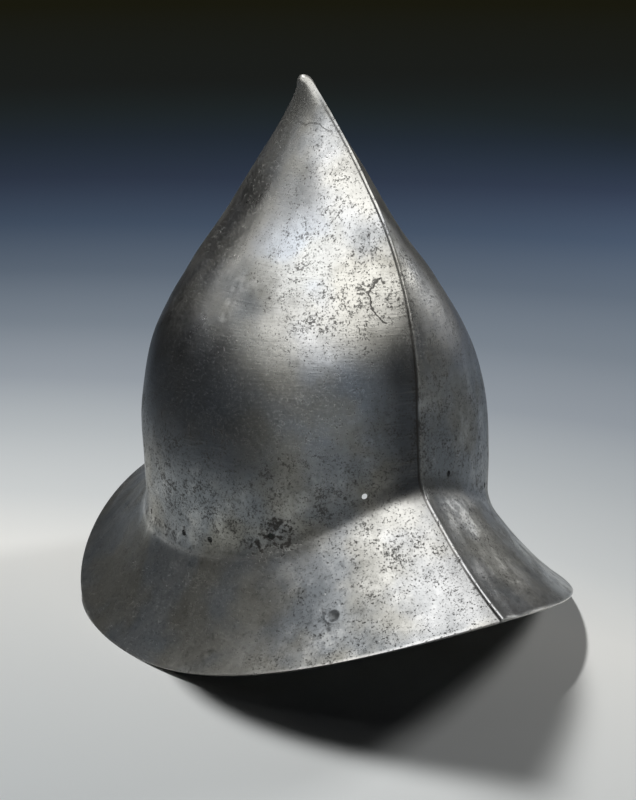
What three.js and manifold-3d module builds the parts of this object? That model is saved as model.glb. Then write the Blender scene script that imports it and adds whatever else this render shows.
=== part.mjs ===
// Morion helmet, forged from one sheet of steel: a tall pointed skull that ends in a solid stalk,
// a ridge down its middle in front and behind, and a brim that droops at the sides.
// Millimetres, +Z up, the front towards -Y and the wearer's right towards -X. The origin is on the
// floor, under the middle of the brim.
import * as THREE from "three";
import { mergeVertices } from "three/addons/utils/BufferGeometryUtils.js";
import Module from "manifold-3d";

// Driving dimensions
const helmetHeight = 306;
const wall = 1.5;

const skullWidth = 200;
const skullLength = 222;
const sideJoinHeight = 52;
const endJoinHeight = 94;
const filletReach = 9;

const brimWidth = 282;
const brimLength = 344;
const frontRise = 42;
const backRise = 48;
const brimHollow = 4.4;
const restLength = 26;

const crestWidth = 3.2;
const crestHeight = 1.2;
const tipRounding = 4;
const stalkLength = 26;

const holeDiameter = 3.4;
const holeHeight = 8.5;

// Shape of the brim: the keel of its outline, and how sharply the join and the edge rise to the ends
const brimKeel = 0.2;
const joinCurl = 3.3;
const edgeCurl = 2.1;

// Sections of the skull. up is the share of the height between the side join and the tip, wide and
// long are shares of half the skull's width and length, back is the set-back as a share of half its
// length, keel is how sharply the two flanks meet, and crest is the share of the crest's height.
const skullSections = [
  { up: 0, wide: 1, long: 1, back: 0.051, keel: 0.22, crest: 0.9 },
  { up: 0.14, wide: 1.035, long: 0.942, back: 0.04, keel: 0.2, crest: 0.9 },
  { up: 0.28, wide: 1.022, long: 0.943, back: 0.066, keel: 0.24, crest: 1 },
  { up: 0.42, wide: 0.897, long: 0.956, back: 0.1, keel: 0.36, crest: 1 },
  { up: 0.56, wide: 0.654, long: 0.867, back: 0.102, keel: 0.62, crest: 1 },
  { up: 0.7, wide: 0.361, long: 0.683, back: 0.097, keel: 0.92, crest: 0.9 },
  { up: 0.82, wide: 0.196, long: 0.435, back: 0.091, keel: 1.1, crest: 0.7 },
  { up: 0.91, wide: 0.072, long: 0.229, back: 0.096, keel: 1.4, crest: 0.5 },
  { up: 0.965, wide: 0.039, long: 0.107, back: 0.118, keel: 1.5, crest: 0.2 },
  { up: 1, wide: 0.039, long: 0.044, back: 0.155, keel: 0.5, crest: 0 },
];

// Holes of the lining band, by their bearing from the front in degrees: negative on the wearer's
// right, where they show, and positive on the left, where three show and the rest follow the right.
const holeBearings = [-104, -80, -68, -46, -17, 12, 39, 68, 104, 135, 163, -163, -135];

const columnsPerFlank = 29;
const skullRows = 24;
const tipRows = 3;
const filletRows = 3;
const insideStep = 2;
const brimRows = 4;
const holeSides = 12;

const halfSkullLength = skullLength / 2;
const columnCount = columnsPerFlank * 2;
const skullRise = helmetHeight - sideJoinHeight;

const columnsOfTable = ["wide", "long", "back", "keel", "crest"];
const sectionCurve = new THREE.CubicInterpolant(
  skullSections.map((row) => row.up),
  skullSections.flatMap((row) => columnsOfTable.map((name) => row[name])),
  columnsOfTable.length,
);

// The skull's plan section at a height
function skullSection(height) {
  const up = THREE.MathUtils.clamp((height - sideJoinHeight) / skullRise, 0, 1);
  const [wide, long, back, keel, crest] = sectionCurve.evaluate(up);
  return {
    halfWidth: (wide * skullWidth) / 2,
    halfLength: long * halfSkullLength,
    setBack: back * halfSkullLength,
    keel,
    crest: crest * crestHeight,
  };
}

const brimSection = {
  halfWidth: brimWidth / 2,
  halfLength: brimLength / 2,
  setBack: 0,
  keel: brimKeel,
};

// A plan section is two flanks, each the arc of an ellipse, that meet in a keel in front and behind.
// turn runs from 0 at the front keel to 1 at the back one, along the right flank (-1) or left (+1).
function planPoint(section, flank, turn) {
  const { halfWidth, halfLength, setBack, keel } = section;
  const keelAngle = Math.asin(keel / (1 + keel));
  const angle = THREE.MathUtils.lerp(keelAngle, Math.PI - keelAngle, turn);
  const across = halfWidth * ((1 + keel) * Math.sin(angle) - keel);
  const along = (halfLength * Math.cos(angle)) / Math.cos(keelAngle);
  return { x: flank * across, y: setBack - along, reach: -along / halfLength };
}

// The turn at which a section is as wide as half the crest, so that the crest keeps its width
function crestFoot(section) {
  const { halfWidth, keel } = section;
  const keelAngle = Math.asin(keel / (1 + keel));
  const share = Math.min(crestWidth / 2 / halfWidth, 0.4);
  const footAngle = Math.asin((keel + share) / (1 + keel));
  return (footAngle - keelAngle) / (Math.PI - 2 * keelAngle);
}

// Column 0 is the front crest and the next is its foot. They go round by the right flank to the back
// crest, and home by the left flank.
function columnTurn(section, column) {
  const flank = column <= columnsPerFlank ? -1 : 1;
  const step = column <= columnsPerFlank ? column : columnCount - column;
  if (step === 0 || step === columnsPerFlank) {
    return { flank, turn: step / columnsPerFlank };
  }
  const foot = crestFoot(section);
  return { flank, turn: THREE.MathUtils.lerp(foot, 1 - foot, (step - 1) / (columnsPerFlank - 2)) };
}

function isCrest(column) {
  return column % columnsPerFlank === 0;
}

// The line where skull and brim would meet without their fillet
function joinHeight(reach) {
  const end = Math.min(Math.abs(reach), 1);
  return THREE.MathUtils.lerp(sideJoinHeight, endJoinHeight, end ** joinCurl);
}

function sectionPoint(place, height, inset) {
  const section = skullSection(height);
  section.halfWidth *= inset;
  section.halfLength *= inset;
  const { flank, turn } = place(section);
  const { x, y } = planPoint(section, flank, turn);
  return new THREE.Vector3(x, y, height);
}

// A point of the skull, from the join (share 0) to where the tip starts to round off (share 1). place
// says which flank and turn it has on a section.
function skullPoint(place, share) {
  const base = skullSection(sideJoinHeight);
  const { flank, turn } = place(base);
  const low = joinHeight(planPoint(base, flank, turn).reach);
  return sectionPoint(place, THREE.MathUtils.lerp(low, helmetHeight - tipRounding, share), 1);
}

// A point of the rounded tip, from its foot (share 0) to its top (share 1)
function tipPoint(place, share) {
  const angle = (share * Math.PI) / 2;
  return sectionPoint(place, helmetHeight - tipRounding * (1 - Math.sin(angle)), Math.cos(angle));
}

function edgePoint(place) {
  const { flank, turn } = place(brimSection);
  const { x, y, reach } = planPoint(brimSection, flank, turn);
  const flat = restLength / brimLength;
  const end = Math.max(0, (Math.abs(reach) - flat) / (1 - flat));
  const rise = y < 0 ? frontRise : backRise;
  return new THREE.Vector3(x, y, rise * end ** edgeCurl);
}

// A point of the brim, from the join (share 0) to the edge (share 1)
function brimPoint(place, share) {
  const point = skullPoint(place, 0).lerp(edgePoint(place), share);
  point.z -= brimHollow * 4 * share * (1 - share);
  return point;
}

// A point of the whole outside, without its crest. rows lists them from the tip to the edge.
const rows = [];
for (let i = 1; i < tipRows; i += 1) {
  rows.push({ part: "tip", share: 1 - i / tipRows });
}
for (let i = 0; i <= skullRows; i += 1) {
  const step = 1 - i / skullRows;
  rows.push({ part: "skull", share: step * (1.3 - 0.3 * step) });
}
for (let i = 1; i < filletRows; i += 1) {
  rows.push({ part: "fillet", share: i / filletRows });
}
for (let i = 0; i <= brimRows; i += 1) {
  rows.push({ part: "brim", share: i / brimRows });
}

function filletEnds(place) {
  const join = skullPoint(place, 0);
  const skullShare = filletReach / (helmetHeight - tipRounding - join.z);
  const brimShare = filletReach / join.distanceTo(edgePoint(place));
  return { join, skullShare, brimShare };
}

function outsidePoint(place, row) {
  if (row.part === "tip") {
    return tipPoint(place, row.share);
  }
  const { join, skullShare, brimShare } = filletEnds(place);
  if (row.part === "skull") {
    return skullPoint(place, THREE.MathUtils.lerp(skullShare, 1, row.share));
  }
  if (row.part === "brim") {
    return brimPoint(place, THREE.MathUtils.lerp(brimShare, 1, row.share));
  }
  const curve = new THREE.QuadraticBezierCurve3(
    skullPoint(place, skullShare),
    join,
    brimPoint(place, brimShare),
  );
  return curve.getPoint(row.share);
}

const outside = rows.map((row) => {
  const ring = [];
  for (let column = 0; column < columnCount; column += 1) {
    ring.push(outsidePoint((section) => columnTurn(section, column), row));
  }
  return ring;
});

// The outward normal of the sheet at a row and column, from the points around it
function sheetNormal(row, column) {
  const ring = outside[row];
  const above = outside[Math.max(row - 1, 0)][column];
  const below = outside[Math.min(row + 1, outside.length - 1)][column];
  const before = ring[(column + columnCount - 1) % columnCount];
  const after = ring[(column + 1) % columnCount];
  const down = below.clone().sub(above);
  return after.clone().sub(before).cross(down).normalize();
}

function crestLift(row, column) {
  if (!isCrest(column)) {
    return 0;
  }
  const height = outside[row][column].z;
  return skullSection(height).crest;
}

// Rings of the closed sheet: down the outside, round the cut edge, and up the inside to the hollow's top
const rings = outside.map((ring, row) =>
  ring.map((point, column) => {
    return point.clone().addScaledVector(sheetNormal(row, column), crestLift(row, column));
  }),
);
const hollowTop = helmetHeight - stalkLength;
const hollowStart = outside.findIndex((ring) => ring[0].z < hollowTop);
for (let row = outside.length - 1; row >= hollowStart; row -= 1) {
  if (rows[row].part === "skull" && (row - hollowStart) % insideStep !== 0) {
    continue;
  }
  rings.push(
    outside[row].map((point, column) => {
      const inner = point.clone().addScaledVector(sheetNormal(row, column), -wall);
      inner.z = Math.max(inner.z, 0);
      return inner;
    }),
  );
}

function middleOf(ring) {
  return ring.reduce((sum, point) => sum.add(point), new THREE.Vector3()).divideScalar(ring.length);
}

// Joins the rings into one closed solid, with a fan at each end
function closedSheet(ringList) {
  const tip = middleOf(ringList[0]).setZ(helmetHeight);
  const crown = middleOf(ringList[ringList.length - 1]);
  const positions = [tip, ...ringList.flat(), crown].flatMap((point) => point.toArray());
  const faces = [];
  for (let column = 0; column < columnCount; column += 1) {
    const next = (column + 1) % columnCount;
    faces.push(0, 1 + next, 1 + column);
    for (let ring = 0; ring < ringList.length - 1; ring += 1) {
      const upper = 1 + ring * columnCount;
      const lower = upper + columnCount;
      faces.push(upper + column, lower + next, lower + column);
      faces.push(upper + column, upper + next, lower + next);
    }
    const end = 1 + (ringList.length - 1) * columnCount;
    faces.push(end + column, end + next, end + columnCount);
  }
  const sheet = new THREE.BufferGeometry();
  sheet.setAttribute("position", new THREE.Float32BufferAttribute(positions, 3));
  sheet.setIndex(faces);
  return sheet;
}

// A short rod that drills one lining hole, square to the sheet
function holeDrill(bearing) {
  const flank = bearing < 0 ? -1 : 1;
  const turn = Math.abs(bearing) / 180;
  const at = (turnHere, lift) => {
    const place = () => ({ flank, turn: turnHere });
    const join = skullPoint(place, 0);
    return skullPoint(place, lift / (helmetHeight - tipRounding - join.z));
  };
  const centre = at(turn, holeHeight);
  const along = at(turn + 0.01, holeHeight).sub(centre);
  const upward = at(turn, holeHeight + 1).sub(centre);
  const outward = along.cross(upward).normalize();
  const rod = new THREE.CylinderGeometry(holeDiameter / 2, holeDiameter / 2, wall * 6, holeSides);
  rod.applyQuaternion(new THREE.Quaternion().setFromUnitVectors(new THREE.Vector3(0, 1, 0), outward));
  rod.translate(centre.x, centre.y, centre.z);
  return rod;
}

const wasm = await Module();
wasm.setup();

function solidOf(geometry) {
  geometry.deleteAttribute("normal");
  geometry.deleteAttribute("uv");
  const merged = mergeVertices(geometry, 1e-4);
  const vertProperties = new Float32Array(merged.attributes.position.array);
  const triVerts = new Uint32Array(merged.index.array);
  return new wasm.Manifold(new wasm.Mesh({ numProp: 3, vertProperties, triVerts }));
}

function geometryOf(solid) {
  const { vertProperties, triVerts } = solid.getMesh();
  const geometry = new THREE.BufferGeometry();
  geometry.setAttribute("position", new THREE.BufferAttribute(vertProperties, 3));
  geometry.setIndex(new THREE.BufferAttribute(triVerts, 1));
  return geometry;
}

const drilled = holeBearings.reduce(
  (solid, bearing) => solid.subtract(solidOf(holeDrill(bearing))),
  solidOf(closedSheet(rings)),
);

const steel = new THREE.MeshStandardMaterial({ color: 0x8a8d90, roughness: 0.38, metalness: 1 });
const skullAndBrim = new THREE.Mesh(geometryOf(drilled), steel);
skullAndBrim.name = "skull_and_brim";

const helmet = new THREE.Group();
helmet.add(skullAndBrim);
export default helmet;
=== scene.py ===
"""A morion helmet of old bare steel on a plain pale floor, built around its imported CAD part.

Metres, +Z up, the helmet's front towards -Y and the wearer's right towards -X.
"""

import math

import bpy
import numpy as np
from mathutils import Matrix, Vector, kdtree, noise


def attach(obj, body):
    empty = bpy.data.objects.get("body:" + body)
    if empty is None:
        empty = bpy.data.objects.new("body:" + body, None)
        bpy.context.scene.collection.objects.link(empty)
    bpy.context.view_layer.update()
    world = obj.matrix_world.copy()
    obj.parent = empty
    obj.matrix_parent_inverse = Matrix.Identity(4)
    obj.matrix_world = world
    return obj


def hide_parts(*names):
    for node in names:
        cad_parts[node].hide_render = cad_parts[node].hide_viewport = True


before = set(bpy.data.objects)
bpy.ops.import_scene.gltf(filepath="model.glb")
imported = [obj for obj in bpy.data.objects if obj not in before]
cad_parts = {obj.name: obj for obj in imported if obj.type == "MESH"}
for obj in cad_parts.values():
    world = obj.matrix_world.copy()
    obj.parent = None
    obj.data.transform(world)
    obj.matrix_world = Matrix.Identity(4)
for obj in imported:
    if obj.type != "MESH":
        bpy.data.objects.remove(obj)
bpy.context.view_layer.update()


# Skull and brim: the whole helmet, one sheet of steel 1.5 mm thick, hammered up into a tall pointed
# skull with a solid stalk. A thin crest stands along the ridge in front and behind, and the brim is
# turned out of the same sheet, with a square-cut edge.
helmet_height = 0.306
wall = 0.0015
skull_width = 0.200
skull_length = 0.222
side_join_height = 0.052
end_join_height = 0.094
fillet_reach = 0.009
brim_width = 0.282
brim_length = 0.344
front_rise = 0.042
back_rise = 0.048
brim_hollow = 0.0044
rest_length = 0.026
crest_width = 0.0032
crest_height = 0.0012
tip_rounding = 0.004
stalk_length = 0.026
brim_keel = 0.2
join_curl = 3.3
edge_curl = 2.1

# Sections of the skull: share of the height, width, length, set-back, keel and height of the crest
skull_sections = np.array(
    [
        (0, 1, 1, 0.051, 0.22, 0.9),
        (0.14, 1.035, 0.942, 0.04, 0.2, 0.9),
        (0.28, 1.022, 0.943, 0.066, 0.24, 1),
        (0.42, 0.897, 0.956, 0.1, 0.36, 1),
        (0.56, 0.654, 0.867, 0.102, 0.62, 1),
        (0.7, 0.361, 0.683, 0.097, 0.92, 0.9),
        (0.82, 0.196, 0.435, 0.091, 1.1, 0.7),
        (0.91, 0.072, 0.229, 0.096, 1.4, 0.5),
        (0.965, 0.039, 0.107, 0.118, 1.5, 0.2),
        (1, 0.039, 0.044, 0.155, 0.5, 0),
    ]
)
section_ups = skull_sections[:, 0]
section_values = skull_sections[:, 1:]
secants = np.diff(section_values, axis=0) / np.diff(section_ups)[:, None]
section_slopes = np.vstack([secants[:1], (secants[1:] + secants[:-1]) / 2, secants[-1:]])


def skull_section(height):
    """The skull's plan section at each height: half width, half length, set-back, keel and crest."""
    up = np.clip((height - side_join_height) / (helmet_height - side_join_height), 0, 1)
    low = np.clip(np.searchsorted(section_ups, up, side="right") - 1, 0, len(section_ups) - 2)
    span = section_ups[low + 1] - section_ups[low]
    t = ((up - section_ups[low]) / span)[..., None]
    span = span[..., None]
    values = (
        (2 * t**3 - 3 * t**2 + 1) * section_values[low]
        + (t**3 - 2 * t**2 + t) * span * section_slopes[low]
        + (3 * t**2 - 2 * t**3) * section_values[low + 1]
        + (t**3 - t**2) * span * section_slopes[low + 1]
    )
    wide, long, back, keel, crest = np.moveaxis(values, -1, 0)
    half = skull_length / 2
    return wide * skull_width / 2, long * half, back * half, keel, crest * crest_height


# Columns of the sheet, from the front crest round by the right flank to the back crest and home by
# the left one. Each takes near_share of the turn at the crest's foot in front and far_share of the
# turn at its foot behind, so that the crest keeps its width all the way down.
crest_steps = np.array([0, 0.18, 0.36, 0.54, 0.72, 0.88])
flank_steps = np.linspace(0, 1, 126)
flank_steps = flank_steps - 0.5 * np.sin(2 * np.pi * flank_steps) / (2 * np.pi)
flank_steps = np.concatenate([[0, 0.0008, 0.0018, 0.003], flank_steps[1:-1], [0.998, 1]])
home_steps = crest_steps[:0:-1]
near_share = np.concatenate([crest_steps, 1 - flank_steps, 1 - home_steps])
far_share = np.concatenate([crest_steps * 0, flank_steps, home_steps * 0 + 1])
crest_near = np.concatenate([crest_steps, flank_steps * 0 + 1, home_steps])
flank_count = len(near_share)
near_share = np.concatenate([near_share, [0], near_share[:0:-1]])
far_share = np.concatenate([far_share, [1], far_share[:0:-1]])
crest_near = np.concatenate([crest_near, [0], crest_near[:0:-1]])
flank_side = np.where(np.arange(len(near_share)) <= flank_count, -1.0, 1.0)
column_count = len(near_share)


def plan_point(half_width, half_length, set_back, keel):
    """Where each column meets a plan section: across, along, and its reach towards the ends."""
    keel_angle = np.arcsin(keel / (1 + keel))
    share = np.minimum(crest_width / 2 / half_width, 0.4)
    foot_angle = np.arcsin((keel + share) / (1 + keel))
    foot = (foot_angle - keel_angle) / (np.pi - 2 * keel_angle)
    turn = near_share * foot + far_share * (1 - foot)
    turn = np.where((near_share == 0) & (far_share == 1) & (crest_near == 0), 1.0, turn)
    angle = keel_angle + turn * (np.pi - 2 * keel_angle)
    across = half_width * ((1 + keel) * np.sin(angle) - keel)
    along = half_length * np.cos(angle) / np.cos(keel_angle)
    return flank_side * across, set_back - along, -along / half_length


def skull_ring(height, inset=1.0):
    """The skull's outside at a height for each column."""
    half_width, half_length, set_back, keel, _ = skull_section(height)
    x, y, _ = plan_point(half_width * inset, half_length * inset, set_back, keel)
    return np.stack([x, y, height], axis=1)


def skull_share(share):
    """The skull from the join (0) to where the tip starts to round off (1)."""
    base = skull_section(np.full(column_count, side_join_height))
    reach = np.minimum(np.abs(plan_point(*base[:4])[2]), 1)
    low = side_join_height + (end_join_height - side_join_height) * reach**join_curl
    return skull_ring(low + (helmet_height - tip_rounding - low) * share)


def brim_edge():
    x, y, reach = plan_point(brim_width / 2, brim_length / 2, 0.0, brim_keel)
    flat = rest_length / brim_length
    end = np.maximum(0, (np.abs(reach) - flat) / (1 - flat))
    rise = np.where(y < 0, front_rise, back_rise)
    return np.stack([x, y, rise * end**edge_curl], axis=1)


edge_ring = brim_edge()
join_ring = skull_share(0.0)


def brim_share(share):
    """The brim from the join (0) to the edge (1)."""
    share = np.asarray(share) * np.ones(column_count)
    ring = join_ring + (edge_ring - join_ring) * share[:, None]
    ring[:, 2] -= brim_hollow * 4 * share * (1 - share)
    return ring


fillet_top_share = fillet_reach / (helmet_height - tip_rounding - join_ring[:, 2])
fillet_end_share = fillet_reach / np.linalg.norm(edge_ring - join_ring, axis=1)
fillet_top = skull_share(fillet_top_share)
fillet_end = brim_share(fillet_end_share)
tip_rows = 6
skull_rows = 104
fillet_rows = 10
brim_rows = 30
outside = []
for i in range(1, tip_rows):
    quarter = (1 - i / tip_rows) * np.pi / 2
    height = helmet_height - tip_rounding * (1 - np.sin(quarter))
    outside.append(skull_ring(np.full(column_count, height), np.cos(quarter)))
for i in range(skull_rows + 1):
    step = 1 - i / skull_rows
    share = step * (1.25 - 0.25 * step)
    outside.append(skull_share(fillet_top_share + (1 - fillet_top_share) * share))
for i in range(1, fillet_rows):
    t = i / fillet_rows
    outside.append((1 - t) ** 2 * fillet_top + 2 * t * (1 - t) * join_ring + t**2 * fillet_end)
for i in range(brim_rows + 1):
    outside.append(brim_share(fillet_end_share + (1 - fillet_end_share) * i / brim_rows))
outside = np.array(outside)
row_count = len(outside)

# Outward normals of the sheet, from the points round each one
rows_above = outside[np.maximum(np.arange(row_count) - 1, 0)]
rows_below = outside[np.minimum(np.arange(row_count) + 1, row_count - 1)]
around = np.roll(outside, -1, axis=1) - np.roll(outside, 1, axis=1)
normals = np.cross(around, rows_below - rows_above)
normals /= np.linalg.norm(normals, axis=2, keepdims=True)

# The forged surface isn't true: it waves by a few tenths of a millimetre, less near the edge
first_brim_row = row_count - brim_rows - 1
edge_fade = np.clip((row_count - 1 - np.arange(row_count)) / 8, 0, 1)[:, None]
tip_fade = np.clip((helmet_height - 0.012 - outside[..., 2]) / 0.03, 0, 1)
waves = np.array(
    [
        noise.noise(Vector(p) * 24) * 0.00055
        + noise.noise(Vector(p) * 62 + Vector((7, 3, 1))) * 0.00022
        + noise.noise(Vector(p) * 150 + Vector((2, 9, 4))) * 0.00006
        for p in outside.reshape(-1, 3)
    ]
).reshape(outside.shape[:2])
waves = waves * edge_fade * tip_fade
sheet = outside + normals * waves[..., None]

# The crest, rounded across, and the inside of the sheet, which has only a valley there. On the front
# of the brim the crest is a step: the left half of the sheet stands over the right one, steep on the
# right and easy on the left, and the step grows to the edge.
_, _, _, _, crest_lift = skull_section(outside[..., 2])
crest_lift = crest_lift * (0.5 + 0.5 * np.cos(np.pi * crest_near))
run = np.linalg.norm(np.diff(outside, axis=0), axis=2).cumsum(axis=0)
run = np.vstack([run[:1] * 0, run])
join_row = tip_rows + skull_rows + fillet_rows // 2
run = run - run[join_row]
brim_part = np.clip(run / run[-1:], 0, 1)
step_height = 0.0005 + 0.0012 * brim_part**2
step_side = outside[..., 0]
steep = 0.5 + 0.5 * np.cos(np.pi * np.clip(-step_side / 0.0018, 0, 1))
easy = 0.5 + 0.5 * np.cos(np.pi * np.clip(step_side / 0.014, 0, 1))
step_lift = step_height * np.where(step_side < 0, steep, easy)
in_front = (outside[..., 1] < 0) & (np.abs(step_side) < 0.015)
on_brim = np.clip(run / 0.006, 0, 1) * in_front
crest_lift = crest_lift * (1 - on_brim) + step_lift * on_brim
outer = sheet + normals * crest_lift[..., None]
inner = sheet - normals * wall
for middle in (0, flank_count):
    for side in (-1, 1):
        foot = (middle + side * len(crest_steps)) % column_count
        for k in range(1, len(crest_steps)):
            column = (middle + side * k) % column_count
            inner[:, column] = inner[:, middle] + (inner[:, foot] - inner[:, middle]) * crest_steps[k]

# The cut edge: a face as wide as the wall with its two corners just broken
corner = 0.0003
down_sheet = sheet[-1] - sheet[-2]
down_sheet /= np.linalg.norm(down_sheet, axis=1, keepdims=True)
through = inner[-1] - sheet[-1]
through /= np.linalg.norm(through, axis=1, keepdims=True)
edge_rows = []
for back, depth in (
    (1, 0),
    (0.5, 0.13),
    (0.13, 0.5),
    (0, 1),
):
    edge_rows.append(outer[-1] - down_sheet * corner * back + through * corner * depth)
for back, depth in ((0, 1), (0.13, 0.5), (0.5, 0.13), (1, 0)):
    edge_rows.append(inner[-1] - down_sheet * corner * back - through * corner * depth)
hollow_top = helmet_height - stalk_length
first_inside = int(np.argmax(outside[:, 0, 2] < hollow_top))
inside_order = [
    row
    for row in range(row_count - 2, first_inside - 1, -1)
    if row >= first_brim_row - fillet_rows or (row - first_inside) % 3 == 0
]
top_point = np.array([outer[0, :, 0].mean(), outer[0, :, 1].mean(), helmet_height])
crown_point = inner[inside_order[-1]].mean(axis=0)
rings = [np.tile(top_point, (column_count, 1)), *outer[:-1], *edge_rows]
rings = [*rings, *inner[inside_order], np.tile(crown_point, (column_count, 1))]
rings = np.array(rings)
rings[..., 2] = np.maximum(rings[..., 2], 0)
edge_count = len(edge_rows)
row_of_ring = [0, *range(row_count - 1), *[row_count - 1] * edge_count, *inside_order, inside_order[-1]]
ring_run = run[row_of_ring]
ring_edge = np.zeros(ring_run.shape)
ring_edge[row_count : row_count + edge_count - 1] = 1
ring_inside = np.zeros(ring_run.shape)
ring_inside[row_count + edge_count - 1 :] = 1
rings = np.concatenate([rings, rings[:, :1]], axis=1)

bpy.ops.object.select_all(action="DESELECT")
bpy.ops.mesh.primitive_grid_add(
    x_subdivisions=rings.shape[1] - 1, y_subdivisions=rings.shape[0] - 1, size=1
)
helmet = bpy.context.object
helmet.name = "helmet_shell"
helmet.data.name = "helmet_shell"
helmet.data.vertices.foreach_set("co", rings.astype(np.float32).ravel())
bpy.ops.object.mode_set(mode="EDIT")
bpy.ops.mesh.select_all(action="SELECT")
bpy.ops.mesh.remove_doubles(threshold=1e-6)
bpy.ops.mesh.normals_make_consistent(inside=False)
bpy.ops.object.mode_set(mode="OBJECT")

# Holes of the lining band, drilled square to the sheet just above the turn of the brim
hole_diameter = 0.0034
hole_height = 0.0085
hole_bearings = (-104, -80, -68, -46, -17, 12, 39, 68, 104, 135, 163, -163, -135)


def flank_point(bearing, lift):
    """A point of the bare skull at a bearing and a height above the join."""
    turn = abs(bearing) / 180

    def at(height):
        half_width, half_length, set_back, keel, _ = skull_section(np.array([height]))
        keel_angle = math.asin(keel[0] / (1 + keel[0]))
        angle = keel_angle + turn * (math.pi - 2 * keel_angle)
        across = half_width[0] * ((1 + keel[0]) * math.sin(angle) - keel[0])
        along = half_length[0] * math.cos(angle) / math.cos(keel_angle)
        side = -1 if bearing < 0 else 1
        return Vector((side * across, set_back[0] - along, height)), -along / half_length[0]

    reach = min(abs(at(side_join_height)[1]), 1)
    low = side_join_height + (end_join_height - side_join_height) * reach**join_curl
    return at(low + lift)[0]


drills = []
for bearing in hole_bearings:
    centre = flank_point(bearing, hole_height)
    along = flank_point(bearing + 1, hole_height) - centre
    upward = flank_point(bearing, hole_height + 0.001) - centre
    outward = along.cross(upward).normalized()
    bpy.ops.object.select_all(action="DESELECT")
    bpy.ops.mesh.primitive_cylinder_add(
        vertices=20,
        radius=hole_diameter / 2,
        depth=wall * 6,
        location=centre,
        rotation=outward.to_track_quat("Z", "Y").to_euler(),
    )
    drills.append(bpy.context.object)
bpy.ops.object.select_all(action="DESELECT")
for drill in drills:
    drill.select_set(True)
bpy.context.view_layer.objects.active = drills[0]
bpy.ops.object.join()
drill = bpy.context.object
bpy.ops.object.select_all(action="DESELECT")
helmet.select_set(True)
bpy.context.view_layer.objects.active = helmet
cut = helmet.modifiers.new("lining_holes", "BOOLEAN")
cut.operation = "DIFFERENCE"
cut.solver = "MANIFOLD"
cut.object = drill
bpy.ops.object.modifier_apply(modifier=cut.name)
bpy.data.objects.remove(drill)

# What the material follows: how far down the sheet a point lies from the join of skull and brim, in
# metres, and whether it is on the inside
places = rings[:, :-1].reshape(-1, 3)
lookup = kdtree.KDTree(len(places))
for i, at in enumerate(places):
    lookup.insert(at, i)
lookup.balance()
nearest = [lookup.find(v.co)[1] for v in helmet.data.vertices]
for name, values in (("sheet_run", ring_run), ("inside", ring_inside), ("cut_edge", ring_edge)):
    layer = helmet.data.attributes.new(name, "FLOAT", "POINT")
    layer.data.foreach_set("value", values.reshape(-1)[nearest].astype(np.float32))

# Marks of use and rust: each patch of the sheet is cut finer before it is pushed in
marks = (
    ("rivet_dimple", (-0.068, -0.115, 0.041), 0.009, 3),
    ("edge_dent", (-0.074, -0.1175, 0.035), 0.006, 2),
    ("ring_mark", (-0.117, -0.069, 0.014), 0.006, 3),
    ("scar_top", (-0.062, -0.009, 0.196), 0.009, 2),
    ("scar_foot", (-0.072, -0.013, 0.1805), 0.009, 2),
    ("rust_cluster", (-0.071, -0.068, 0.071), 0.015, 2),
    ("rust_speck", (-0.078, -0.059, 0.063), 0.009, 2),
    ("crease_notch", (-0.002, -0.155, 0.056), 0.005, 2),
)
for _, centre, radius, cuts in marks:
    bpy.ops.object.mode_set(mode="EDIT")
    bpy.ops.mesh.select_mode(type="FACE")
    bpy.ops.mesh.select_all(action="DESELECT")
    bpy.ops.object.mode_set(mode="OBJECT")
    middle = Vector(centre)
    for face in helmet.data.polygons:
        if (face.center - middle).length < radius and len(face.vertices) == 4:
            face.select = True
    bpy.ops.object.mode_set(mode="EDIT")
    bpy.ops.mesh.subdivide(number_cuts=cuts, smoothness=0)
    bpy.ops.object.mode_set(mode="OBJECT")


def bowl(place, centre, radius):
    """1 at a mark's centre, 0 past its radius."""
    near = max(0.0, 1 - (place - Vector(centre)).length / radius)
    return near * near * (3 - 2 * near)


def rim(place, centre, radius, width):
    """1 on a circle round a mark's centre."""
    off = ((place - Vector(centre)).length - radius) / width
    return math.exp(-off * off)


mark_at = {name: Vector(centre) for name, centre, _, _ in marks}
dimple_radius = 0.0042
dimple_depth = 0.0016
dimple_lip = 0.00035
dent_depth = 0.0006
ring_depth = 0.0003
notch_depth = 0.0007
scar_depth = 0.0002
scar_lip = 0.00008
rust_depth = 0.0011
scar_top = mark_at["scar_top"]
scar_foot = mark_at["scar_foot"]
pushes = []
for v in helmet.data.vertices:
    at = v.co
    push = 0.0
    if v.normal.z > -0.2:
        push += dimple_lip * rim(at, mark_at["rivet_dimple"], dimple_radius, 0.0011)
        push -= dimple_depth * bowl(at, mark_at["rivet_dimple"], dimple_radius)
        push -= dent_depth * bowl(at, mark_at["edge_dent"], 0.0035)
        push -= ring_depth * bowl(at, mark_at["ring_mark"], 0.003)
        push -= notch_depth * bowl(at, mark_at["crease_notch"], 0.003)
        scar = scar_top - scar_foot
        share = max(0.0, min(1.0, (at - scar_foot).dot(scar) / scar.length_squared))
        off = (at - scar_foot.lerp(scar_top, share)).length
        if off < 0.012:
            crooked = off + 0.0022 * noise.noise(at * 240)
            push -= scar_depth * math.exp(-((crooked / 0.0017) ** 2))
            push += scar_lip * math.exp(-(((crooked - 0.0034) / 0.0012) ** 2))
        eaten = max(bowl(at, mark_at["rust_cluster"], 0.014), bowl(at, mark_at["rust_speck"], 0.008))
        if eaten:
            rough = noise.noise(at * 420) + 0.5 * noise.noise(at * 900) + 0.1
            push -= rust_depth * eaten * max(0.0, rough)
    pushes.append(push)
moved = [v.co + v.normal * push for v, push in zip(helmet.data.vertices, pushes)]
helmet.data.vertices.foreach_set("co", np.array(moved, np.float32).ravel())
helmet.data.update()
bpy.ops.object.shade_smooth_by_angle(angle=math.radians(50))

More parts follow.
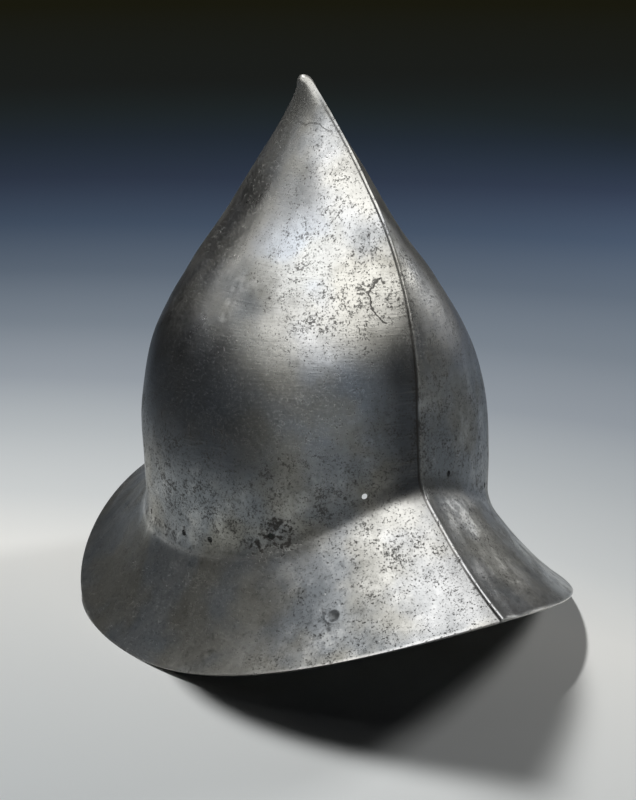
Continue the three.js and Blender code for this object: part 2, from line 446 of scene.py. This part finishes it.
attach(helmet, "root")
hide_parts("skull_and_brim")


class Socket:
    """One output of a shader node, with the arithmetic of its values."""

    def __init__(self, tree, link):
        self.tree = tree
        self.link = link

    def maths(self, operation, *values):
        return node(self.tree, "ShaderNodeMath", {"operation": operation}, values)

    def __add__(self, other):
        return self.maths("ADD", self, other)

    def __sub__(self, other):
        return self.maths("SUBTRACT", self, other)

    def __mul__(self, other):
        return self.maths("MULTIPLY", self, other)

    def __truediv__(self, other):
        return self.maths("DIVIDE", self, other)

    def __rsub__(self, other):
        return self.maths("SUBTRACT", other, self)

    __radd__ = __add__
    __rmul__ = __mul__


def node(tree, kind, settings, values, output=0):
    """Adds a shader node, sets it, and fills its sockets, by place or by name."""
    new = tree.nodes.new(kind)
    for name, setting in settings.items():
        if name == "stops":
            ramp = new.color_ramp
            while len(ramp.elements) < len(setting):
                ramp.elements.new(1)
            for element, (place, colour) in zip(ramp.elements, setting):
                element.position = place
                element.color = (*colour, 1) if len(colour) == 3 else colour
        else:
            setattr(new, name, setting)
    pairs = values.items() if isinstance(values, dict) else enumerate(values)
    for name, value in pairs:
        if isinstance(value, Socket):
            tree.links.new(value.link, new.inputs[name])
        else:
            new.inputs[name].default_value = value
    return Socket(tree, new.outputs[output]) if new.outputs else new


# Aged steel
steel = bpy.data.materials.new("aged_steel")
steel.use_nodes = True
tree = steel.node_tree
tree.nodes.clear()
place = node(tree, "ShaderNodeTexCoord", {}, {}, "Object")


def cloud(scale, detail=4.0, roughness=0.6, stretch=(1, 1, 1), shift=(0, 0, 0)):
    at = node(tree, "ShaderNodeMapping", {}, {"Vector": place, "Scale": stretch, "Location": shift})
    values = {"Vector": at, "Scale": scale, "Detail": detail, "Roughness": roughness}
    return node(tree, "ShaderNodeTexNoise", {}, values, 0)


def step_up(value, low, high):
    """0 under low, 1 over high, and smooth between."""
    values = {"Value": value, "From Min": low, "From Max": high}
    return node(tree, "ShaderNodeMapRange", {"interpolation_type": "SMOOTHSTEP"}, values)


def blend(factor, first, second, mode="MIX"):
    settings = {"data_type": "RGBA", "blend_type": mode}
    return node(tree, "ShaderNodeMix", settings, {0: factor, 6: first, 7: second}, 2)


def attribute(name):
    return node(tree, "ShaderNodeAttribute", {"attribute_name": name}, {}, "Fac")


def axis(name):
    return node(tree, "ShaderNodeSeparateXYZ", {}, {"Vector": place}, name)


def near(centre, inner_radius, outer_radius):
    """1 within the inner radius of a place, 0 past the outer one."""
    away = node(tree, "ShaderNodeVectorMath", {"operation": "DISTANCE"}, {0: place, 1: centre}, 1)
    return 1 - step_up(away, inner_radius, outer_radius)


def larger(first, second):
    return first.maths("MAXIMUM", first, second)


def smaller(first, second):
    return first.maths("MINIMUM", first, second)


x = axis("X")
y = axis("Y")
z = axis("Z")
sheet_run = attribute("sheet_run")
inside = attribute("inside")
cut_edge = attribute("cut_edge")
on_skull = 1 - step_up(sheet_run, -0.004, 0.003)
in_front = 1 - step_up(y, -0.06, -0.03)

def along(points, width):
    """1 on a wavering line through some places, 0 at the given width from it."""
    near_line = None
    for first, second in zip(points, points[1:]):
        span = [b - a for a, b in zip(first, second)]
        length = math.sqrt(sum(s * s for s in span))
        from_first = node(
            tree, "ShaderNodeVectorMath", {"operation": "SUBTRACT"}, {0: wavering, 1: first}
        )
        share = node(
            tree, "ShaderNodeVectorMath", {"operation": "DOT_PRODUCT"}, {0: from_first, 1: span}, 1
        )
        share = smaller(larger(share / length**2, 0.0), 1.0)
        reached = node(
            tree, "ShaderNodeVectorMath", {"operation": "SCALE"}, {0: span, "Scale": share}
        )
        away = node(
            tree, "ShaderNodeVectorMath", {"operation": "DISTANCE"}, {0: from_first, 1: reached}, 1
        )
        this_line = 1 - step_up(away, 0.3 * width, width)
        near_line = this_line if near_line is None else larger(near_line, this_line)
    return near_line


waver = node(
    tree,
    "ShaderNodeTexNoise",
    {"noise_dimensions": "3D"},
    {"Vector": place, "Scale": 210.0, "Detail": 3.0, "Roughness": 0.6},
    "Color",
)
waver = node(tree, "ShaderNodeVectorMath", {"operation": "SUBTRACT"}, {0: waver, 1: (0.5, 0.5, 0.5)})
waver = node(tree, "ShaderNodeVectorMath", {"operation": "SCALE"}, {0: waver, "Scale": 0.004})
wavering = node(tree, "ShaderNodeVectorMath", {"operation": "ADD"}, {0: place, 1: waver})
# Seen along Y, so that a line needs no depth to lie on the sheet
wavering = node(
    tree, "ShaderNodeVectorMath", {"operation": "MULTIPLY"}, {0: wavering, 1: (1, 0, 1)}
)

# Tarnish and painted shade: the steel is darker round the foot of the skull, and tarnished inside, on
# the crown and in mottled patches over the right of the brim. On the skull's left flank, along the left
# of the crest and over the left of the brim the darkening is painted shade, darkest on the flank and
# beside the crest.
smoke = cloud(16, 6, 0.62)
mottle = cloud(55, 5, 0.65, (1, 1, 0.8), (0.3, 0.1, 0))
foot_height = z + 0.03 * (smoke - 0.5)
spared = near((-0.052, -0.075, 0.135), 0.008, 0.036)
foot = on_skull * (1 - step_up(foot_height, 0.13, 0.185)) * (1 - 0.65 * spared)
# Painted shade: a strip along the left of the crest in front is darkened, where the steel mirrors the
# dark shadow on the floor ahead.
crest_side_shade = step_up(x, -0.03, -0.008) * (1 - step_up(x, -0.0012, 0.0)) * on_skull * in_front
crest_side_shade = crest_side_shade * (1 - step_up(foot_height, 0.15, 0.185))
# Painted shade: the skull's left flank, turned away from the lit panels, is darkened as though
# mirroring a dark room.
flank_shade = on_skull * (1 - step_up(x + 0.01 * (mottle - 0.5), -0.09, -0.062))
flank_shade = flank_shade * step_up(z, 0.088, 0.11) * (1 - step_up(foot_height, 0.165, 0.2))
# A smudge high on the front of the skull, and painted shade: a darker patch round the scar.
smudge_and_scar_shade = 0.5 * near((-0.004, -0.066, 0.222), 0.004, 0.026)
smudge_and_scar_shade = larger(smudge_and_scar_shade, 0.6 * near((-0.062, -0.012, 0.194), 0.008, 0.034))
brim = 1 - on_skull
right_brim = brim * step_up(x, 0.002, 0.006) * step_up(0.17 + y + 0.4 * x, -0.01, 0.02)
# Painted shade: the left of the brim, which mirrors the dark side of the room, is darkened.
left_brim_shade = brim * (1 - step_up(x + 0.02 * (smoke - 0.5), -0.075, -0.004))
crown = on_skull * step_up(z, 0.235, 0.28)
mottled_right = 0.55 * right_brim * step_up(mottle, 0.42, 0.56)
tarnish_and_shade = larger(larger(0.92 * foot, crest_side_shade), larger(inside * 0.9, mottled_right))
tarnish_and_shade = larger(larger(tarnish_and_shade, smudge_and_scar_shade), larger(0.85 * left_brim_shade, 0.55 * crown))
tarnish_and_shade = tarnish_and_shade + 0.24 * step_up(smoke, 0.5, 0.72) + 0.22 * step_up(mottle, 0.5, 0.7)
tarnish_and_shade = tarnish_and_shade - 0.3 * step_up(1 - mottle, 0.5, 0.68)
tarnish_and_shade = smaller(larger(tarnish_and_shade - 0.7 * cut_edge, 0.0), 1.0)

# Rust pits: fine dark specks in a faint halo, thick in patches and thin elsewhere
speck = cloud(900, 3, 0.6)
blot = cloud(520, 6, 0.72, (1, 1, 1), (0.2, 0, 0.4))
patches = step_up(cloud(42, 4, 0.6, (1, 1, 1), (0, 0.7, 0)), 0.44, 0.6)
clumps = step_up(cloud(130, 3, 0.6, (1, 1, 1), (0.6, 0.7, 0)), 0.47, 0.62)
# Patches thick with pits: how thick, where, and the radii between which they thin out
thick_patches = (
    (0.5, (-0.012, -0.070, 0.205), 0.01, 0.04),
    (0.45, (-0.045, -0.062, 0.185), 0.03, 0.068),
    (0.55, (-0.025, -0.078, 0.17), 0.008, 0.035),
    (0.45, (-0.02, -0.03, 0.25), 0.008, 0.04),
    (1.0, (0.012, -0.088, 0.155), 0.006, 0.03),
    (1.0, (0.03, -0.085, 0.105), 0.006, 0.034),
    (0.8, (-0.045, -0.085, 0.095), 0.01, 0.045),
    (0.35, (-0.03, -0.115, 0.065), 0.006, 0.03),
)
thick = 0.65 * foot
for share, centre, inner_radius, outer_radius in thick_patches:
    thick = larger(thick, share * near(centre, inner_radius, outer_radius))
beside = step_up(x, -0.008, -0.002) * (1 - step_up(x, 0.002, 0.008)) * in_front
thick = larger(thick, 1.5 * beside * on_skull * (1 - step_up(z, 0.19, 0.215)))
density = smaller(0.22 + 0.3 * patches + 0.45 * thick, 1.0) * (0.45 + 0.55 * clumps)
density = density * (1 - 0.65 * (1 - step_up(x, -0.075, -0.045)) * step_up(z, 0.12, 0.15))
pits = step_up(speck + 0.15 * density, 0.635, 0.7)
blots = step_up(blot + 0.15 * density, 0.64, 0.69)
halo = 0.4 * step_up(blot + 0.15 * density, 0.56, 0.66) * density
eaten = larger(near((-0.071, -0.068, 0.071), 0.005, 0.015), near((-0.078, -0.059, 0.063), 0.002, 0.008))
eaten = step_up(cloud(330, 5, 0.65) + 0.15 * eaten, 0.6, 0.68) * step_up(eaten, 0.05, 0.3)
crack_radius = 0.014
crack_line = [
    (-0.0035 + crack_radius * math.cos(turn), 0, 0.194 + crack_radius * math.sin(turn))
    for turn in np.radians(np.linspace(118, 230, 8)).tolist()
]
cracks = along(crack_line, 0.0006)
cracks = cracks * in_front
lap_line = ((-0.0125, 0, 0.2765), (-0.0095, 0, 0.2795), (-0.006, 0, 0.281), (-0.0035, 0, 0.277))
lap = along(lap_line, 0.0006)
lap = lap * (1 - step_up(x, -0.002, 0))
dimple = near((-0.0675, -0.1145, 0.0405), 0.0008, 0.003)
holes = larger(larger(0.7 * pits, 0.75 * blots), larger(0.9 * eaten, larger(0.8 * cracks, 0.4 * lap)))
holes = larger(holes, 0.7 * dimple)
rust_mask = larger(holes, halo)

# Fine grinding lines run round the skull, and short scratches lie over them
lines = cloud(60, 4, 0.7, (1, 1, 16), (0.5, 0.2, 0))
scratches = cloud(210, 2, 0.5, (1, 0.35, 5), (0.8, 0.4, 0.6))
ground = on_skull * (1 - 0.6 * step_up(z, 0.19, 0.23))

clean = (0.71, 0.715, 0.71, 1)
dull = (0.225, 0.245, 0.26, 1)
warm_dull = (0.265, 0.25, 0.205, 1)
# Near-black blue for the painted shade on the flank and beside the crest
painted_dark_reflection = (0.065, 0.073, 0.085, 1)
rust = (0.024, 0.02, 0.016, 1)
warmth = step_up(cloud(22, 3, 0.5, (1, 1, 1), (0.9, 0, 0)), 0.4, 0.6)
warmth = smaller(warmth * 0.7 + near((-0.016, -0.078, 0.19), 0.012, 0.04), 1.0)
tint = blend(warmth, dull, warm_dull)
cool = blend(near((-0.04, -0.035, 0.215), 0.012, 0.045), clean, (0.66, 0.70, 0.745, 1))
cool = blend(near((-0.035, -0.085, 0.135), 0.012, 0.045), cool, (0.58, 0.66, 0.78, 1))
bright = blend(0.8 * warmth, cool, (0.75, 0.73, 0.655, 1))
colour = blend(tarnish_and_shade, bright, tint)
# Painted shade: the flank and the strip beside the crest blend towards near-black blue.
colour = blend(smaller(0.8 * flank_shade + 0.9 * crest_side_shade, 1.0), colour, painted_dark_reflection)
grain = cloud(330, 5, 0.75, (1, 1, 1), (0.3, 0.3, 0.9))
freckle = step_up(grain, 0.5, 0.66) * (0.1 + 0.65 * tarnish_and_shade)
colour = blend(0.6 * freckle, colour, (0.05, 0.052, 0.05, 1))
glints = step_up(cloud(640, 2, 0.5, (1, 1, 1), (0.7, 0.1, 0.2)), 0.7, 0.76) * tarnish_and_shade * brim
colour = blend(0.6 * glints, colour, (0.8, 0.8, 0.78, 1))
colour = blend(0.3 * step_up(lines, 0.5, 0.7) * ground, colour, tint)
colour = blend(rust_mask, colour, rust)
# Painted shadow: a dark line in rust colour along the steep left foot of the crest and of the step on
# the brim, mostly painted shadow and partly rust pits.
seam_shadow_side = step_up(x, -0.0021, -0.0016) * (1 - step_up(x, -0.0012, -0.0007))
seam_shadow = seam_shadow_side * in_front * step_up(z, 0.0, 0.01) * (1 - step_up(z, 0.18, 0.21))
colour = blend(0.75 * seam_shadow, colour, rust)
roughness = 0.3 + 0.08 * tarnish_and_shade + 0.3 * rust_mask + 0.14 * (mottle - 0.5) + 0.1 * (smoke - 0.5)
metal = 1 - 0.25 * tarnish_and_shade - 0.5 * rust_mask
relief = 0.5 * cloud(95, 5, 0.6) + 0.22 * lines * ground + 0.07 * scratches + 0.16 * grain
relief = relief - 0.5 * holes + 0.08 * step_up(speck, 0.5, 0.68) * density
bump = node(
    tree, "ShaderNodeBump", {}, {"Strength": 0.5, "Distance": 0.0007, "Height": relief}
)
surface = node(
    tree,
    "ShaderNodeBsdfPrincipled",
    {},
    {"Base Color": colour, "Roughness": roughness, "Metallic": metal, "Normal": bump},
)
node(tree, "ShaderNodeOutputMaterial", {}, {"Surface": surface})
helmet.data.materials.clear()
helmet.data.materials.append(steel)


# Floor: a wide pale sheet whose colour falls away to navy-black with distance from a point to the front
# and the wearer's right, a painted fall-off of the light over it, with a faint painted glow far out
bpy.ops.object.select_all(action="DESELECT")
bpy.ops.mesh.primitive_circle_add(vertices=128, radius=10, fill_type="NGON", location=(0, 0, 0))
floor = bpy.context.object
floor.name = "floor"
floor_paint = bpy.data.materials.new("floor_paint")
floor_paint.use_nodes = True
tree = floor_paint.node_tree
tree.nodes.clear()
spot = node(tree, "ShaderNodeTexCoord", {}, {}, "Object")
distance = node(
    tree, "ShaderNodeVectorMath", {"operation": "DISTANCE"}, {0: spot, 1: (-0.8, -0.5, 0)}, 1
)
falloff_reach = 5.0
glow_reach = 10.0
# Painted fall-off: the floor's colour dims with distance as the light would, pale near the helmet and
# navy-black far off.
painted_light_falloff = (
    (0.60, (0.79, 0.83, 0.84)),
    (0.95, (0.80, 0.80, 0.77)),
    (1.05, (0.575, 0.595, 0.595)),
    (1.20, (0.38, 0.405, 0.42)),
    (1.35, (0.225, 0.25, 0.28)),
    (1.55, (0.125, 0.15, 0.18)),
    (1.80, (0.064, 0.086, 0.118)),
    (2.10, (0.031, 0.052, 0.09)),
    (2.50, (0.017, 0.031, 0.068)),
    (3.00, (0.014, 0.036, 0.074)),
    (3.60, (0.024, 0.068, 0.085)),
)
# Painted glow: a faint emission that lights the far floor, though the floor is no lamp.
painted_far_glow = (
    (0.9, (0, 0, 0)),
    (1.7, (0.0105, 0.012, 0.0135)),
    (4.75, (0.0104, 0.0115, 0.0095)),
    (7.5, (0.0093, 0.009, 0.0042)),
)
shade = node(
    tree,
    "ShaderNodeValToRGB",
    {"stops": [(away / falloff_reach, tint) for away, tint in painted_light_falloff]},
    {"Fac": distance / falloff_reach},
)
glow = node(
    tree,
    "ShaderNodeValToRGB",
    {"stops": [(away / glow_reach, tint) for away, tint in painted_far_glow]},
    {"Fac": distance / glow_reach},
)
surface = node(
    tree,
    "ShaderNodeBsdfPrincipled",
    {},
    {
        "Base Color": shade,
        "Roughness": 0.85,
        "Specular IOR Level": 0.2,
        "Emission Color": glow,
        "Emission Strength": 1.0,
    },
)
node(tree, "ShaderNodeOutputMaterial", {}, {"Surface": surface})
floor.data.materials.append(floor_paint)


# Lights: a small key high behind the helmet and a weaker light low on the right draw its two shadows
# on the floor. About an eighth of the key reaches the steel, because in full it flecks the left flank.
# Soft panels above and beside the helmet shine on the steel alone.
steel_only = bpy.data.collections.new("steel_only")
steel_only.objects.link(helmet)
floor_only = bpy.data.collections.new("floor_only")
floor_only.objects.link(floor)


def towards(azimuth, elevation):
    a = math.radians(azimuth)
    e = math.radians(elevation)
    return Vector((math.sin(a) * math.cos(e), -math.cos(a) * math.cos(e), math.sin(e)))


def panel(name, where, facing, size, radiance, shines_on=None):
    """A soft white panel at a place, facing along a direction, as bright as radiance says."""
    lamp = bpy.data.lights.new(name, "AREA")
    lamp.shape = "RECTANGLE"
    lamp.size, lamp.size_y = size
    lamp.energy = radiance * math.pi * size[0] * size[1]
    holder = bpy.data.objects.new(name, lamp)
    bpy.context.scene.collection.objects.link(holder)
    holder.location = where
    holder.rotation_euler = Vector(facing).to_track_quat("-Z", "Y").to_euler()
    holder.visible_camera = False
    if shines_on:
        holder.light_linking.receiver_collection = shines_on


over_turn = math.radians(-27)


def over(name, left, right_end, back_end, front, height, radiance):
    """A panel that lies over the helmet, nearly square to the camera, between these distances."""
    turn = over_turn
    aside = Vector((math.cos(turn), math.sin(turn), 0))
    nearer = Vector((math.sin(turn), -math.cos(turn), 0))
    where = aside * (left + right_end) / 2 + nearer * (back_end + front) / 2 + Vector((0, 0, height))
    panel(name, where, (0, 0, -1), (right_end - left, front - back_end), radiance, steel_only)
    bpy.data.objects[name].rotation_euler = (0, 0, turn)


light_distance = 1.8
key = towards(167, 55)
side = towards(98, 17)
glow_side = towards(94, 12)
glow_core = towards(96, 19)
room_side = towards(-115, 35)
panel("key", key * light_distance, -key, (0.14, 0.14), 455, floor_only)
panel("key_on_steel", key * light_distance, -key, (0.14, 0.14), 60, steel_only)
panel("side_light", side * light_distance, -side, (0.38, 0.28), 54, floor_only)
panel("side_glow", glow_side * light_distance, -glow_side, (0.85, 0.4), 0.4, steel_only)
panel("side_core", glow_core * 1.75, -glow_core, (0.3, 0.2), 3, steel_only)
panel("room", room_side * light_distance, -room_side, (2.2, 1.2), 0.042, steel_only)
over("top_panel", -0.36, 0.18, -0.14, 0.62, 0.5, 1.12)
over("top_wide_panel", -0.4, 0.24, -0.2, 0.98, 0.51, 0.33)
over("left_panel", -0.56, -0.38, -0.34, -0.08, 0.5, 0.65)
over("front_panel", -0.7, 0.5, 0.95, 2.1, 0.52, 0.15)
panel("right_panel", (0.3, -0.07, 0.5), (0, 0, -1), (0.4, 1.05), 0.3, steel_only)

world = bpy.data.worlds.new("dark_room")
world.use_nodes = True
world.node_tree.nodes["Background"].inputs["Color"].default_value = (0.0025, 0.0025, 0.003, 1)
world.node_tree.nodes["Background"].inputs["Strength"].default_value = 1
bpy.context.scene.world = world

# Camera, at the photograph's angle
camera_azimuth = -32.82
camera_elevation = 16.27
camera_distance = 1.0158
camera_right = -0.00184
camera_up = 0.11427
azimuth = math.radians(camera_azimuth)
roll = math.radians(0.195)
right = Vector((math.cos(azimuth), math.sin(azimuth), 0))
back = towards(camera_azimuth, camera_elevation)
up = back.cross(right)
lens = bpy.data.cameras.new("photo_camera")
lens.sensor_fit = "AUTO"
lens.sensor_width = 36
lens.lens = 75.42
lens.clip_start = 0.05
camera = bpy.data.objects.new("photo_camera", lens)
bpy.context.scene.collection.objects.link(camera)
across = right * math.cos(roll) - up * math.sin(roll)
upright = right * math.sin(roll) + up * math.cos(roll)
spot = back * camera_distance + right * camera_right + up * camera_up
turn = Matrix((across, upright, back)).transposed().to_4x4()
camera.matrix_world = Matrix.Translation(spot) @ turn
bpy.context.scene.camera = camera
bpy.context.scene.view_settings.view_transform = "Standard"
